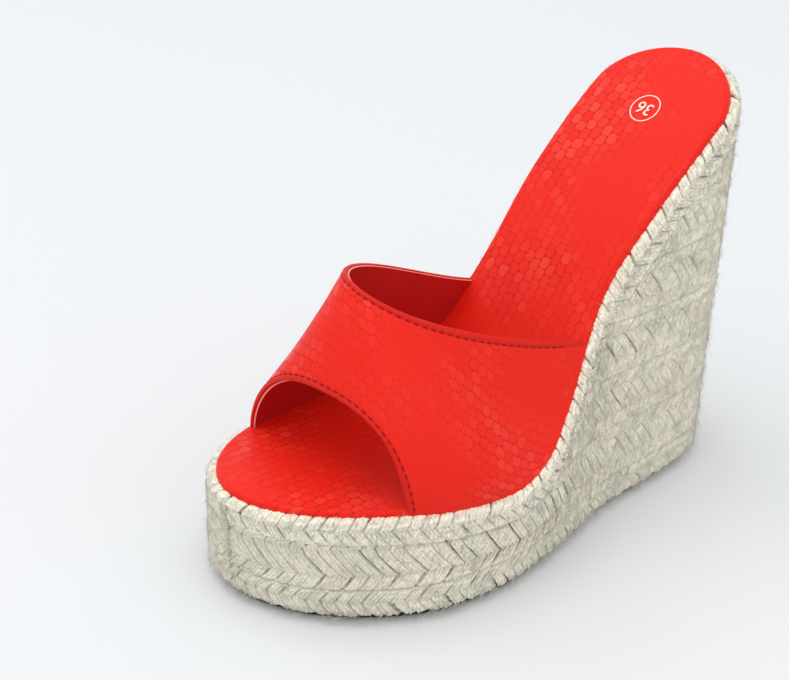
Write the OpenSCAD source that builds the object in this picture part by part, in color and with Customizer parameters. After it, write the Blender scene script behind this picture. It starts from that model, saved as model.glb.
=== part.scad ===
// Wedge sandal: an open-toe mule on a jute-covered wedge, for the left foot.
// The toe points along +X, the wearer's left side is +Y, and the sole stands on Z = 0.
// The footbed is a sheet bent along X only. A place on it is given by s, the distance along its
// surface from the heel, by y, and by n, the height above its surface along the normal.

/* [Footbed] */
// Length of the footbed along its surface
insole_length = 235; // [215:1:260]
// Height of the footbed at the ball of the foot
platform_height = 37; // [32:0.5:48]
// Steepest slope of the footbed, in degrees
shank_slope = 54; // [46:1:57]
// Width of the footbed at the ball of the foot
ball_width = 87; // [80:0.5:96]

/* [Wedge and jute] */
// Distance that the jute stands out past the edge of the footbed
jute_overhang = 2.8; // [2.6:0.1:4]
// Thickness of a jute braid
braid_thickness = 3.8; // [3:0.1:3.8]
// Width of a jute braid, which is also the height of a row
braid_width = 18.7; // [17:0.1:21]
// Height of the seam above the lowest row
first_seam = 12.4; // [10:0.1:14]
// Height of the lower edge of the jute above the ground
jute_bottom = 1.6; // [1.4:0.1:2.4]
// Width of the topline braid that shows on the wall
topline_width = 7.5; // [6:0.1:9]

/* [Outsole] */
// Thickness of the rubber outsole
outsole_thickness = 3; // [2:0.25:4]
// Distance that the outsole stands back from the jute
outsole_inset = 4; // [4:0.25:6]

/* [Band] */
// Place of the front edge of the band on the lateral side, measured from the heel
front_edge_lateral = 199; // [190:1:206]
// Place of the front edge of the band on the medial side, measured from the heel
front_edge_medial = 204; // [190:1:208]
// Height of the front opening above the footbed
front_rise = 31.5; // [28:0.5:36]
// Place of the rear edge of the band on the lateral side, measured from the heel
rear_edge_lateral = 108; // [100:1:118]
// Place of the rear edge of the band on the medial side, measured from the heel
rear_edge_medial = 106; // [98:1:118]
// Height of the middle of the rear edge above its two ends
rear_rise = 30; // [25:0.5:34]
// Distance that the middle of the rear edge lies forward of its two ends
rear_reach = 71; // [64:0.5:74]

/* [Layers] */
// Thickness of the footbed cover
cover_thickness = 0.9; // [0.7:0.1:1.2]
// Thickness of the foam under the cover
foam_thickness = 2.4; // [2:0.1:4]
// Thickness of the insole board
board_thickness = 2; // [1.6:0.1:2.4]
// Thickness of the band's outer skin
outer_thickness = 0.9; // [0.7:0.1:1]
// Thickness of the band's interlining
interlining_thickness = 0.4; // [0.3:0.1:0.5]
// Thickness of the band's lining
lining_thickness = 0.8; // [0.6:0.1:0.9]

/* [Hidden] */
$fn = 48;
// Clearance between neighbouring pieces
gap = 0.12;
lateral = 1;
medial = -1;

// The shape is drawn for a footbed of 235 mm and scaled along its length from there.
length_ratio = insole_length / 235;
width_ratio = ball_width / 87;
slope_ratio = shank_slope / 54;
// Slope of the footbed: [distance from the heel, degrees downhill towards the toe]
slope_table = [[0, 21], [30, 35], [60, 43], [95, 54], [125, 48.5], [150, 17], [175, 0], [205, -3], [235, 0]];
// Plan shape of the footbed: [distance from the heel, half width, middle line]
footbed_plan = [[0, 25, -0.5], [25, 27.6, 1.4], [60, 27.3, 1.8], [95, 26.3, 1.1], [130, 33.4, 2.3],
    [150, 41.2, 2.6], [165, 43.6, 2.9], [185, 41.5, 1.2], [205, 38.4, -2.3], [235, 36, -7]];
// Plan shape of the wedge where it meets the outsole: [share of its length, half width, middle line]
base_plan = [[0, 25.2, -1.5], [0.16, 27, 2.7], [0.35, 30.5, 3.2], [0.5, 37.2, 4.6],
    [0.64, 43, 4], [0.78, 44, 1.3], [0.9, 44.4, -3.8], [1, 45, -8]];
// Lengths of the rounded heel and toe ends, on the footbed and on the base
heel_round = 24 * length_ratio;
toe_round = 50 * length_ratio;
// Distances that the base stands back from the ends of the footbed
base_heel_in = 4;
base_toe_in = -0.6;
// Height of the footbed surface above the shoulder of the jute
shoulder_drop = 3;

// Smooth curve through a table of stations, whose column c gives the value at each place
function station(t, x, i = 0) = (i >= len(t) - 2 || x < t[i + 1][0]) ? i : station(t, x, i + 1);
function rise(t, i, c) = let (
    a = max(0, i - 1),
    b = min(len(t) - 1, i + 1)
) (t[b][c] - t[a][c]) / (t[b][0] - t[a][0]);
function smooth(t, x, c = 1) = let (
    i = station(t, x),
    w = t[i + 1][0] - t[i][0],
    u = (x - t[i][0]) / w,
    u2 = u * u,
    u3 = u2 * u
) (2 * u3 - 3 * u2 + 1) * t[i][c] + (u3 - 2 * u2 + u) * w * rise(t, i, c)
    + (3 * u2 - 2 * u3) * t[i + 1][c] + (u3 - u2) * w * rise(t, i + 1, c);

// Side profile of the footbed, found by adding up its slope in short steps
function slope(s) = smooth(slope_table, min(235, max(0, s / length_ratio))) * slope_ratio;
step = insole_length / 235;
profile = [for (
    i = 0, x = 0, z = 0;
    i <= 235;
    x = x + step * cos(slope((i + 0.5) * step)),
    z = z - step * sin(slope((i + 0.5) * step)),
    i = i + 1
) [i * step, x, z]];
lowest = min([for (p = profile) p[2]]);
profile_x = [for (p = profile) [p[0], p[1]]];
profile_z = [for (p = profile) [p[0], p[2] - lowest + platform_height]];
function beyond(s) = s - min(insole_length, max(0, s));
function footbed_x(s) = lookup(s, profile_x) + beyond(s) * cos(slope(s));
function footbed_z(s) = lookup(s, profile_z) - beyond(s) * sin(slope(s));

// Half width of the footbed with its edge moved in by inset, rounded at both ends
function round_end(x, r) = x >= r ? 1 : sqrt(max(0, 1 - (1 - x / r) * (1 - x / r)));
function half_width(s, inset) =
    (smooth(footbed_plan, min(235, max(0, s / length_ratio))) * width_ratio - inset)
    * round_end(s - inset, heel_round) * round_end(insole_length - inset - s, toe_round);
function middle(s) = smooth(footbed_plan, min(235, max(0, s / length_ratio)), 2);
function on_footbed(s, y, n) = [footbed_x(s) + n * sin(slope(s)), y, footbed_z(s) + n * cos(slope(s))];
function edge(s, side, inset, n) = on_footbed(s, middle(s) + side * half_width(s, inset), n);

// Stations along the footbed, close together where its ends are round
end_angles = [7, 20, 33, 47, 61, 75, 90];
function stations(inset) = let (a = inset + heel_round, b = insole_length - inset - toe_round) concat(
    [for (t = end_angles) inset + heel_round * (1 - cos(t))],
    [for (i = [1 : 21]) a + (b - a) * i / 22],
    [for (i = [len(end_angles) - 1 : -1 : 0]) insole_length - inset - toe_round * (1 - cos(end_angles[i]))]);
station_count = len(stations(0));

// Wall of the wedge: straight lines from the shoulder under the footbed's edge down to the base.
// i numbers the points of the contour, from the toe along the medial side to the heel and back
// along the lateral side. depth is measured inwards from the outer face of the jute.
contour_count = 2 * station_count;
function side_of(i) = i < station_count ? medial : lateral;
function station_of(i, depth) = let (t = stations(depth - jute_overhang))
    t[i < station_count ? station_count - 1 - i : i - station_count];
function shoulder(i, depth) = edge(station_of(i, depth), side_of(i), depth - jute_overhang, -shoulder_drop);
heel_x = footbed_x(0);
toe_x = footbed_x(insole_length);
function base(i, depth) = let (
    s = station_of(i, depth),
    first = footbed_x(depth - jute_overhang),
    last = footbed_x(insole_length - depth + jute_overhang),
    f = (footbed_x(s) - first) / (last - first),
    x0 = heel_x + base_heel_in + depth,
    x1 = toe_x - base_toe_in - depth,
    x = x0 + f * (x1 - x0),
    ends = round_end(x - x0, heel_round) * round_end(x1 - x, toe_round),
    w = (smooth(base_plan, f) * width_ratio - depth) * ends
) [x, smooth(base_plan, f, 2) + side_of(i) * w, outsole_thickness];
function wall(i, z, depth) = let (
    a = shoulder(i, depth),
    b = base(i, depth)
) a + (b - a) * (a[2] - z) / (a[2] - b[2]);

// Lower edge of the topline braid, which keeps the same width where the edge climbs
shoulders = [for (i = [0 : contour_count - 1]) shoulder(i, 0)];
function along(i) = let (
    n = contour_count,
    d = shoulders[(i + 1) % n] - shoulders[(i + n - 1) % n]
) norm([d[0], d[1]]) / norm(d);
// The topline braid is squeezed thinner than the rows, between the footbed's edge and its own shoulder.
topline_depth = min(braid_thickness - 1, jute_overhang - 0.2);
function topline_edge(i) = shoulders[i][2] - topline_width / along(i);

// The band is a sheet over the foot: across = 0 at the front edge and 1 at the rear edge, and turn
// runs from 0 degrees at the lateral side over the foot to 180 at the medial side.
stack_thickness = cover_thickness + foam_thickness + board_thickness;
band_thickness = outer_thickness + interlining_thickness + lining_thickness + 2 * gap;
band_inset = band_thickness + 0.1;
// Arch of an edge: [lateral place, medial place, reach, rise, roundness across, forward and up,
// lean towards the medial side, share of the reach gained on the lateral side]
front_arch = [front_edge_lateral, front_edge_medial, 4, front_rise, 2.6, 2.4, 1.75, -0.15, 0];
rear_arch = [rear_edge_lateral, rear_edge_medial, rear_reach, rear_rise, 2.3, 2.8, 2.35, 0.16, 0.14];
// How fast the band leaves the footbed's outline, and how far it swells between its edges
follow_power = 3.2;
band_swell = [0.9, 0, 1.5];
function band_foot(a, side) = edge(a[side == lateral ? 0 : 1] * length_ratio, side, band_inset, -2);
function arch_curve(a, turn) = let (
    left = band_foot(a, lateral),
    right = band_foot(a, medial),
    c = cos(turn),
    u = max(0, sin(turn)),
    span = sign(c) * pow(abs(c), 2 / a[4]),
    forward = a[2] * pow(u, 2 / a[5]),
    up = a[3] * pow(u, 2 / a[6])
) (left + right) / 2 + (left - right) / 2 * span + [forward * (1 + a[8] * c), -a[7] * up, up];
function arch_point(across, turn) = let (
    side = turn <= 90 ? lateral : medial,
    front = arch_curve(front_arch, turn),
    rear = arch_curve(rear_arch, turn),
    mixed = front_arch * (1 - across) + rear_arch * across,
    straight = band_foot(front_arch, side) * (1 - across) + band_foot(rear_arch, side) * across,
    foot = band_foot(mixed, side) - straight
) front * (1 - across) + rear * across + foot * pow(abs(cos(turn)), follow_power)
    + 4 * across * (1 - across) * max(0, sin(turn)) * band_swell;
function arch_normal(across, turn) = let (
    t = min(178, max(2, turn)),
    v = min(0.98, max(0.02, across)),
    along_edge = arch_point(v, t + 1) - arch_point(v, t - 1),
    over = arch_point(v + 0.02, t) - arch_point(v - 0.02, t),
    d = cross(over, along_edge)
) d / norm(d);
function band_point(across, turn, height) = arch_point(across, turn) + height * arch_normal(across, turn);
// Below the footbed's edge the band turns under the insole board, where it is held by cement.
margin_width = 9;
margin_step = 0.8;
function margin(across, side, height) = let (
    a = front_arch * (1 - across) + rear_arch * across,
    s = (side == lateral ? a[0] : a[1]) * length_ratio,
    n = -stack_thickness - gap - height
) [
    edge(s, side, band_inset - height, -2.5),
    edge(s, side, band_inset - height + margin_step, n),
    edge(s, side, band_inset + margin_width, n)
];
band_steps = 12;
turns = [0, 5, 11, 18, 26, 35, 45, 56, 68, 80, 90, 100, 112, 124, 135, 145, 154, 162, 169, 175, 180];
function band_row(across, height) = concat(
    [for (i = [2 : -1 : 0]) margin(across, lateral, height)[i]],
    [for (t = turns) band_point(across, t, height)],
    margin(across, medial, height));

// Origin: the middle of the shoe's length and width
outline = concat(shoulders, [for (i = [0 : contour_count - 1]) base(i, 0)]);
centre = [
    (min([for (p = outline) p[0]]) + max([for (p = outline) p[0]])) / 2,
    (min([for (p = outline) p[1]]) + max([for (p = outline) p[1]])) / 2,
    0
];

row_count = 7;
core_depth = braid_thickness + gap;
core_drop = stack_thickness + band_thickness + 0.65;
// Top of the wedge core in side view, and the height where the wall meets it
core_top = [for (p = profile) let (q = on_footbed(p[0], 0, -core_drop)) [q[0], q[2]]];
function core_edge(i) = let (
    first = wall(i, lookup(shoulder(i, core_depth)[0], core_top), core_depth),
    second = wall(i, lookup(first[0], core_top), core_depth)
) wall(i, lookup(second[0], core_top), core_depth);
shank_width = 12;
shank_from = 46 * length_ratio;
shank_to = 134 * length_ratio;
rivet_places = [52, 128];
nail_places = [[13, 0], [24, -13], [24, 13], [42, -12], [42, 12]];

jute = [0.86, 0.82, 0.7];
red = [0.85, 0.12, 0.09];

// Moves a piece from the heel's frame to the shoe's own origin
module placed() {
    translate(-centre) children();
}

// Solid through a row of rings that have the same number of points
module loft(rings, closed = false) {
    n = len(rings);
    m = len(rings[0]);
    walls = [for (i = [0 : closed ? n - 1 : n - 2], j = [0 : m - 1]) let (
        a = i * m + j,
        b = i * m + (j + 1) % m,
        c = (i + 1) % n * m + (j + 1) % m,
        d = (i + 1) % n * m + j
    ) each [[a, b, c], [a, c, d]]];
    last = (n - 1) * m;
    caps = closed ? [] : [for (j = [1 : m - 2]) each [[0, j + 1, j], [last, last + j, last + j + 1]]];
    polyhedron(points = [for (r = rings) each r], faces = concat(walls, caps), convexity = 8);
}

// Layer of the footbed between two heights and two places, with its edge moved in
module sheet(inset, n_low, n_high, from, to) {
    places = concat(
        from > 0 ? [from] : [],
        [for (s = stations(inset)) if (s > from && s < to - 1) s],
        [to]);
    loft([for (s = places) [
        edge(s, lateral, inset, n_low),
        edge(s, medial, inset, n_low),
        edge(s, medial, inset, n_high),
        edge(s, lateral, inset, n_high)
    ]]);
}

// Straight-sided strip that follows the profile of the footbed
module strip(n_low, n_high, width, from, to, y) {
    places = [for (i = [0 : 24]) from + (to - from) * i / 24];
    low = [for (s = places) let (p = on_footbed(s, 0, n_low)) [p[0], p[2]]];
    high = [for (i = [24 : -1 : 0]) let (p = on_footbed(places[i], 0, n_high)) [p[0], p[2]]];
    translate([0, y, 0]) rotate([90, 0, 0]) linear_extrude(width, center = true) polygon(concat(low, high));
}

// Places a round piece on the footbed, with its axis along the surface's normal
module on_normal(s, y, n) {
    translate(on_footbed(s, y, n)) rotate([0, slope(s), 0]) children();
}

module outsole() {
    points = [for (i = [0 : contour_count - 1]) let (p = base(i, outsole_inset)) [p[0], p[1]]];
    color([0.06, 0.06, 0.06]) placed() linear_extrude(outsole_thickness - gap) polygon(points);
}

module wedge_core() {
    levels = 5;
    loops = [for (j = [0 : levels]) [for (i = [0 : contour_count - 1]) let (
        low = base(i, core_depth) + [0, 0, gap / 2],
        high = core_edge(i)
    ) low + (high - low) * j / levels]];
    m = contour_count;
    walls = [for (j = [0 : levels - 1], i = [0 : m - 1]) let (
        a = j * m + i,
        b = j * m + (i + 1) % m
    ) each [[a, a + m, b + m], [a, b + m, b]]];
    top = levels * m;
    caps = [for (i = [0 : station_count - 2]) let (q = m - 1 - i) each [
        [i, i + 1, q - 1], [i, q - 1, q],
        [top + i, top + q - 1, top + i + 1], [top + i, top + q, top + q - 1]]];
    color([0.78, 0.7, 0.55]) placed() difference() {
        polyhedron(points = [for (l = loops) each l], faces = concat(walls, caps), convexity = 6);
        for (p = nail_places) on_normal(p[0], p[1], -core_drop - 14) cylinder(h = 20, r = 1.1);
    }
}

// One row of jute braid round the wedge. The rows above the platform end at the topline braid, and
// the last row is stretched up to it all round the heel.
stretched = 6;
module braid_row(k) {
    low = k == 1 ? jute_bottom : first_seam + (k - 2) * braid_width + gap;
    seam = first_seam + (k - 1) * braid_width - gap + (k == row_count ? stretched : 0);
    tops = [for (i = [0 : contour_count - 1]) min(seam, topline_edge(i) - gap)];
    used = [for (i = [0 : contour_count - 1]) if (tops[i] > low + 3) i];
    rings = [for (i = used) let (high = tops[i]) [
        wall(i, low, braid_thickness),
        wall(i, low, 1),
        wall(i, low + 1.4, 0),
        wall(i, high - 1.4, 0),
        wall(i, high, 1),
        wall(i, high, braid_thickness)
    ]];
    color(jute) placed() loft(rings, closed = len(used) == contour_count);
}

module topline_braid() {
    rings = [for (i = [0 : contour_count - 1]) let (
        high = shoulders[i][2],
        low = topline_edge(i) + gap
    ) [
        wall(i, low, topline_depth),
        wall(i, low, 1),
        wall(i, low + 1.4, 0),
        wall(i, high - 0.8, 0),
        wall(i, high + 1, 1),
        wall(i, high + 1.6, 2),
        wall(i, high + 1.6, topline_depth)
    ]];
    color(jute) placed() loft(rings, closed = true);
}

// Distance of the forepart filler from the footbed's edge, inside the band's margins
filler_inset = band_inset + margin_width + 1.5;

// The layers of the footbed narrow under the band, whose margins turn round their edge.
band_front = max(front_edge_lateral, front_edge_medial) * length_ratio;
band_rear = min(rear_edge_lateral, rear_edge_medial) * length_ratio;
narrowing = band_inset + 2 * gap;
// Edge of the board and the foam, inside the cover
board_inset = cover_thickness + gap;
module narrowed_sheet(inset, n_low, n_high, more = 0) {
    all = stations(inset);
    places = concat(
        [for (s = all) if (s < band_rear - 4) s],
        [band_rear - 3, band_rear - 1],
        [for (s = all) if (s > band_rear && s < band_front) s],
        [band_front + 1, band_front + 3],
        [for (s = all) if (s > band_front + 4) s]);
    loft([for (s = places) let (
        d = (s < band_rear - 2 || s > band_front + 2) ? 0 : narrowing + more,
        step_in = [0, d, 0]
    ) [
        edge(s, lateral, inset, n_low) - step_in,
        edge(s, medial, inset, n_low) + step_in,
        edge(s, medial, inset, n_high) + step_in,
        edge(s, lateral, inset, n_high) - step_in
    ]]);
}

module insole_board() {
    color([0.72, 0.6, 0.42]) placed() difference() {
        narrowed_sheet(board_inset, -stack_thickness, -stack_thickness + board_thickness - gap, 0.9);
        for (p = nail_places) {
            on_normal(p[0], p[1], -stack_thickness - 1) cylinder(h = 6, r = 1.1);
            on_normal(p[0], p[1], -stack_thickness + board_thickness - 1.2) cylinder(h = 3, r = 2.7);
        }
    }
}

module heel_stiffener() {
    color([0.45, 0.4, 0.34]) placed() difference() {
        sheet(6, -stack_thickness - gap - 1, -stack_thickness - gap, 0, 98 * length_ratio);
        for (p = nail_places) on_normal(p[0], p[1], -stack_thickness - 3) cylinder(h = 4, r = 1.1);
        for (s = rivet_places) on_normal(s, 0, -stack_thickness - 3) cylinder(h = 4, r = 1.6);
    }
}

module steel_shank() {
    color("silver") placed() difference() {
        strip(-core_drop + 0.3, -stack_thickness - 1 - 2 * gap, shank_width, shank_from, shank_to, 0);
        for (s = rivet_places) on_normal(s, 0, -core_drop - 2) cylinder(h = 5, r = 1.6);
    }
}

module shank_rivets() {
    color([0.7, 0.6, 0.3]) placed() for (s = rivet_places)
        on_normal(s, 0, -core_drop + gap) cylinder(h = 1.9, r = 1.5);
}

module heel_nails() {
    color("gray") placed() for (p = nail_places) {
        on_normal(p[0], p[1], -core_drop - 13) cylinder(h = 15, r = 1);
        on_normal(p[0], p[1], -stack_thickness + board_thickness - 1.1) cylinder(h = 1, r = 2.5);
    }
}

// Foam sheet that fills the hollow between the band's margins under the board
module forepart_filler() {
    color([0.9, 0.88, 0.8]) placed()
        sheet(filler_inset, -core_drop + 0.4, -stack_thickness - 2 * gap, shank_to + 5, 222 * length_ratio);
}

module footbed_foam() {
    color([0.95, 0.93, 0.85]) placed()
        narrowed_sheet(board_inset, -cover_thickness - foam_thickness + gap, -cover_thickness - gap, 0.9);
}

module footbed_cover() {
    color(red) placed() difference() {
        narrowed_sheet(gap, -stack_thickness + gap, 0, 0.7);
        narrowed_sheet(cover_thickness, -stack_thickness - 3, -cover_thickness, 0.7);
    }
}

// Foil ring that carries the size
module size_stamp() {
    place = 30 * length_ratio;
    color("silver") placed() intersection() {
        on_normal(place, 1, -3) difference() {
            cylinder(h = 6, r = 5.6);
            translate([0, 0, -1]) cylinder(h = 8, r = 4.9);
        }
        strip(0.03, 0.18, 30, place - 12, place + 12, 0);
    }
}

// Sheet between two faces of the band
module band_layer(low, high) {
    rows = [for (v = [0 : band_steps]) v / band_steps];
    under = [for (v = rows) band_row(v, low)];
    over = [for (v = rows) band_row(v, high)];
    n = len(rows);
    m = len(under[0]);
    upper = n * m;
    faces = [for (i = [0 : n - 2], j = [0 : m - 2]) let (
        a = i * m + j,
        b = a + 1,
        c = a + m + 1,
        d = a + m
    ) each [
        [a, c, b], [a, d, c], [upper + a, upper + b, upper + c], [upper + a, upper + c, upper + d]]];
    edges = [for (j = [0 : m - 2]) let (
        a = j,
        b = j + 1,
        c = (n - 1) * m + j,
        d = c + 1
    ) each [
        [a, b, upper + b], [a, upper + b, upper + a], [c, upper + d, d], [c, upper + c, upper + d]]];
    ends = [for (i = [0 : n - 2]) let (
        a = i * m,
        b = a + m,
        c = a + m - 1,
        d = b + m - 1
    ) each [
        [a, upper + b, b], [a, upper + a, upper + b], [c, d, upper + d], [c, upper + d, upper + c]]];
    polyhedron(points = concat([for (r = under) each r], [for (r = over) each r]),
        faces = concat(faces, edges, ends), convexity = 10);
}

module band_outer() {
    low = lining_thickness + interlining_thickness + 2 * gap;
    color(red) placed() band_layer(low, low + outer_thickness);
}

module band_interlining() {
    low = lining_thickness + gap;
    color("white") placed() band_layer(low, low + interlining_thickness);
}

module band_lining() {
    color([0.6, 0.05, 0.08]) placed() band_layer(0, lining_thickness);
}

// Row of stitches along one edge of the band
thread_radius = 0.22;
module stitch_row(across, count) {
    height = band_thickness + 0.3;
    for (i = [0 : count - 1]) {
        a = band_point(across, 4 + 172 * (i + 0.12) / count, height);
        b = band_point(across, 4 + 172 * (i + 0.88) / count, height);
        d = b - a;
        tilt = acos(d[2] / norm(d));
        translate(a) rotate([0, tilt, atan2(d[1], d[0])]) cylinder(h = norm(d), r = thread_radius, $fn = 16);
    }
}

module front_edge_stitching() {
    color([0.7, 0.08, 0.07]) placed() stitch_row(0.06, 30);
}

module rear_edge_stitching() {
    color([0.7, 0.08, 0.07]) placed() stitch_row(0.955, 52);
}

outsole();
wedge_core();
for (k = [1 : row_count]) braid_row(k);
topline_braid();
insole_board();
heel_stiffener();
steel_shank();
shank_rivets();
heel_nails();
forepart_filler();
footbed_foam();
footbed_cover();
size_stamp();
band_outer();
band_interlining();
band_lining();
front_edge_stitching();
rear_edge_stitching();
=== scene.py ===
# %% [markdown]
# # A wedge sandal with a jute-covered wedge
# The shoe is a backless sandal: one wide embossed band over the foot, a footbed that climbs to a
# high heel, and a wedge wrapped in rows of jute plait. The solids of the design come in first and
# stay where they are. Every piece below is drawn around them, in metres, in the same frame: the
# toe points along +X, the outer side of the foot is +Y, and the sole stands on Z = 0.
# %% Load the design
import math

import bpy
import numpy as np
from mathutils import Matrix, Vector


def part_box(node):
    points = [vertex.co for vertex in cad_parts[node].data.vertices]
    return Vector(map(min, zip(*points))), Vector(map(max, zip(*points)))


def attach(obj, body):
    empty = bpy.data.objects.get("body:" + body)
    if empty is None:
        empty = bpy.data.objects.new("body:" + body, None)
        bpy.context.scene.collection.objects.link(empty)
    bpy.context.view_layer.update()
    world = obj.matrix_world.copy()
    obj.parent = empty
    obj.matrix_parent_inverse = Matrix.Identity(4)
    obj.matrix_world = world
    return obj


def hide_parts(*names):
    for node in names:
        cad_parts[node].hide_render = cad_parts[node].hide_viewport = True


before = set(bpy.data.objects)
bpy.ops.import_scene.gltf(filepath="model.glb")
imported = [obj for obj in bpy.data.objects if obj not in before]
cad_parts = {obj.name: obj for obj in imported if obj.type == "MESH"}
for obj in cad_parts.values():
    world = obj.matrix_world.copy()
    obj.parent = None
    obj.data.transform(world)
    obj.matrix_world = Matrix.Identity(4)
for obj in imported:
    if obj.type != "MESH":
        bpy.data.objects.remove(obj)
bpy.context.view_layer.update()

# %% [markdown]
# ## The shape of the shoe
# The footbed is a sheet that bends along the shoe only. A place on it is given by s, the distance
# from the heel along its surface, by y, and by n, the height above it. The same few stations as in
# the design are repeated here in millimetres, because plaits and embossing need the surface at any
# point and far finer than the solids hold it. The result is printed beside the solid's own box.
# %% Stations of the footbed and of the wedge's base
MM = 0.001
LENGTH = 235
PLATFORM_HEIGHT = 37
SLOPES = [[0, 21], [30, 35], [60, 43], [95, 54], [125, 48.5], [150, 17], [175, 0], [205, -3], [235, 0]]
FOOTBED_PLAN = [[0, 25, -0.5], [25, 27.6, 1.4], [60, 27.3, 1.8], [95, 26.3, 1.1], [130, 33.4, 2.3],
                [150, 41.2, 2.6], [165, 43.6, 2.9], [185, 41.5, 1.2], [205, 38.4, -2.3], [235, 36, -7]]
BASE_PLAN = [[0, 25.2, -1.5], [0.16, 27, 2.7], [0.35, 30.5, 3.2], [0.5, 37.2, 4.6],
             [0.64, 43, 4], [0.78, 44, 1.3], [0.9, 44.4, -3.8], [1, 45, -8]]
HEEL_ROUND = 24
TOE_ROUND = 50
BASE_HEEL_IN = 4
BASE_TOE_IN = -0.6
OVERHANG = 2.8
SHOULDER_DROP = 3
SOLE_TOP = 3
JUTE_BOTTOM = 1.6
OUTSOLE_INSET = 4
LATERAL = 1
MEDIAL = -1


def smooth(table, x, column=1):
    """Smooth curve through a table of stations."""
    t = np.asarray(table, float)
    i = np.clip(np.searchsorted(t[:, 0], x, side="right") - 1, 0, len(t) - 2)

    def rise(k):
        a = np.maximum(k - 1, 0)
        b = np.minimum(k + 1, len(t) - 1)
        return (t[b, column] - t[a, column]) / (t[b, 0] - t[a, 0])

    w = t[i + 1, 0] - t[i, 0]
    u = (x - t[i, 0]) / w
    start = (2 * u**3 - 3 * u**2 + 1) * t[i, column] + (u**3 - 2 * u**2 + u) * w * rise(i)
    return start + (3 * u**2 - 2 * u**3) * t[i + 1, column] + (u**3 - u**2) * w * rise(i + 1)


def ease(x):
    """0 below 0, 1 above 1 and smooth between."""
    x = np.clip(x, 0, 1)
    return x * x * (3 - 2 * x)


# %% Side profile and edge of the footbed
def slope(s):
    return np.radians(smooth(SLOPES, np.clip(s, 0, LENGTH)))


half_steps = slope(np.arange(LENGTH) + 0.5)
PROFILE_X = np.concatenate([[0], np.cumsum(np.cos(half_steps))])
PROFILE_Z = np.concatenate([[0], -np.cumsum(np.sin(half_steps))])
PROFILE_Z += PLATFORM_HEIGHT - PROFILE_Z.min()


def on_footbed(s, y, n):
    """Point of the footbed in the design's own heel frame, in millimetres."""
    s, y, n = np.broadcast_arrays(np.asarray(s, float), y, n)
    past = s - np.clip(s, 0, LENGTH)
    x = np.interp(s, np.arange(LENGTH + 1), PROFILE_X) + past * np.cos(slope(s))
    z = np.interp(s, np.arange(LENGTH + 1), PROFILE_Z) - past * np.sin(slope(s))
    return np.stack([x + n * np.sin(slope(s)), y, z + n * np.cos(slope(s))], -1)


def round_end(x, r):
    return np.where(x >= r, 1, np.sqrt(np.clip(1 - (1 - x / r) ** 2, 0, 1)))


def half_width(s, inset):
    width = smooth(FOOTBED_PLAN, np.clip(s, 0, LENGTH)) - inset
    return width * round_end(s - inset, HEEL_ROUND) * round_end(LENGTH - inset - s, TOE_ROUND)


def middle(s):
    return smooth(FOOTBED_PLAN, np.clip(s, 0, LENGTH), 2)


def edge(s, side, inset, n):
    return on_footbed(s, middle(s) + side * half_width(s, inset), n)


# %% The wall of the wedge
def station(t, inset):
    """Distance along the footbed for t from 0 at the heel's tip to 1 at the toe's tip."""
    heel_share = 0.16
    toe_share = 0.26
    a = inset + HEEL_ROUND
    b = LENGTH - inset - TOE_ROUND
    heel = inset + HEEL_ROUND * (1 - np.cos(np.pi / 2 * np.clip(t / heel_share, 0, 1)))
    toe = LENGTH - inset - TOE_ROUND * (1 - np.cos(np.pi / 2 * np.clip((1 - t) / toe_share, 0, 1)))
    between = a + (b - a) * (t - heel_share) / (1 - heel_share - toe_share)
    return np.where(t < heel_share, heel, np.where(t > 1 - toe_share, toe, between))


def shoulder(s, side, depth):
    """Where the wall ends under the footbed's edge. depth is measured inwards from the jute's face."""
    return edge(s, side, depth - OVERHANG, -SHOULDER_DROP)


HEEL_X = on_footbed(0, 0, 0)[0]
TOE_X = on_footbed(LENGTH, 0, 0)[0]


def base(s, side, depth):
    """The point of the wedge's base below the shoulder at s."""
    first = on_footbed(depth - OVERHANG, 0, 0)[0]
    last = on_footbed(LENGTH - depth + OVERHANG, 0, 0)[0]
    share = (on_footbed(s, 0, 0)[..., 0] - first) / (last - first)
    x0 = HEEL_X + BASE_HEEL_IN + depth
    x1 = TOE_X - BASE_TOE_IN - depth
    x = x0 + share * (x1 - x0)
    width = (smooth(BASE_PLAN, share) - depth) * round_end(x - x0, HEEL_ROUND) * round_end(x1 - x, TOE_ROUND)
    return np.stack([x, smooth(BASE_PLAN, share, 2) + side * width, np.full_like(x, SOLE_TOP)], -1)


SIDE_STEPS = 170
DEEP = 4
side_t = (np.arange(SIDE_STEPS) + 0.5) / SIDE_STEPS
loop_t = np.concatenate([side_t[::-1], side_t])
loop_side = np.repeat([MEDIAL, LATERAL], SIDE_STEPS)
LOOP = len(loop_t)


def contour(place, depth):
    """Closed line round the shoe: from the toe along the medial side to the heel and back."""
    return place(station(loop_t, depth - OVERHANG), loop_side, depth)


SHOULDER_OUT, SHOULDER_IN = contour(shoulder, 0), contour(shoulder, DEEP)
BASE_OUT, BASE_IN = contour(base, 0), contour(base, DEEP)


def at(line, f):
    """Point of a closed line at the fractional index f."""
    i = np.floor(f).astype(int)
    w = (f - i)[..., None]
    return line[i % LOOP] * (1 - w) + line[(i + 1) % LOOP] * w


def wall(f, z, depth):
    """Point of the wall at height z and at a depth below the jute's face."""
    def level(top, bottom):
        a, b = at(top, f), at(bottom, f)
        return a + (b - a) * ((a[..., 2] - z) / (a[..., 2] - b[..., 2]))[..., None]

    outer = level(SHOULDER_OUT, BASE_OUT)
    inner = level(SHOULDER_IN, BASE_IN)
    return outer + (inner - outer) * (depth / DEEP)[..., None]


# %% Where the heel frame lies in the shoe's own frame
CENTRE = np.zeros(3)
outline = np.concatenate([SHOULDER_OUT, BASE_OUT])
CENTRE[:2] = (outline[:, :2].min(0) + outline[:, :2].max(0)) / 2


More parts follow.
